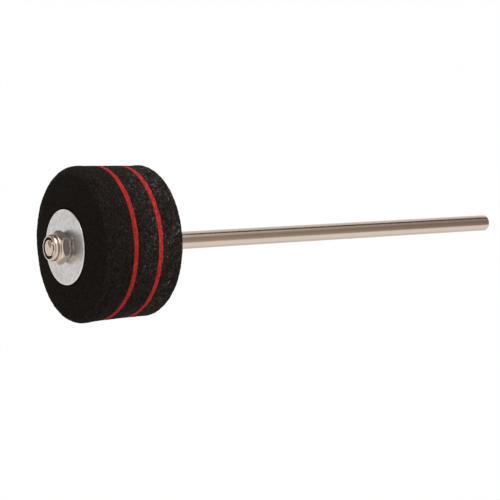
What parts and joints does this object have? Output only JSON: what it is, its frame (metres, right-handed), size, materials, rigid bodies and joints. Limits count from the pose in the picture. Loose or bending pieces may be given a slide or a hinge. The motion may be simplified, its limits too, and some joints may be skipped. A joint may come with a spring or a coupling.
{
  "type": "bass drum beater",
  "caption": "Bass drum pedal beater: a round layered felt head on the threaded end of a plain steel rod, clamped between broad washers by a nylon-insert lock nut.",
  "frame": {"origin": "on the rod's axis, at the middle of the stretch that the pedal's hub grips, 30 mm above the rod's tail end", "axes": "+Z along the rod from its tail towards the felt head and the lock nut; +X towards a corner of the nuts' hexagons"},
  "size_m": [0.0682, 0.0682, 0.2596],
  "materials": {
    "nickel_rod": "polished nickel plate, drawn lengthways",
    "bright_nut": "bright nickel plate",
    "black_nylon": "moulded nylon",
    "satin_washer": "tumbled satin plate",
    "black_felt": "pressed wool felt, black",
    "red_felt": "pressed wool felt, red"
  },
  "bodies": {
    "beater": {"shaft": "nickel_rod", "rear_nut": "bright_nut", "rear_washer": "satin_washer", "rear_felt": "black_felt", "rear_red_felt": "red_felt", "middle_felt": "black_felt", "front_red_felt": "red_felt", "front_felt": "black_felt"},
    "front_washer": {"front_washer": "satin_washer"},
    "lock_nut": {"lock_nut": "bright_nut", "nylon_insert": "black_nylon"}
  },
  "joints": [
    {"name": "lock_nut_turn", "type": "hinge", "parent": "beater", "child": "front_washer", "pos_m": [0, 0, 0.2218], "axis": [0, 0, 1], "range_deg": [0, 2160]},
    {"name": "lock_nut_climb", "type": "slide", "parent": "front_washer", "child": "lock_nut", "axis": [0, 0, 1], "range_m": [0, 0.0075]}
  ],
  "couplings": [
    {"joint": "lock_nut_climb", "follows": "lock_nut_turn", "m_per_rad": 0.00019894}
  ]
}
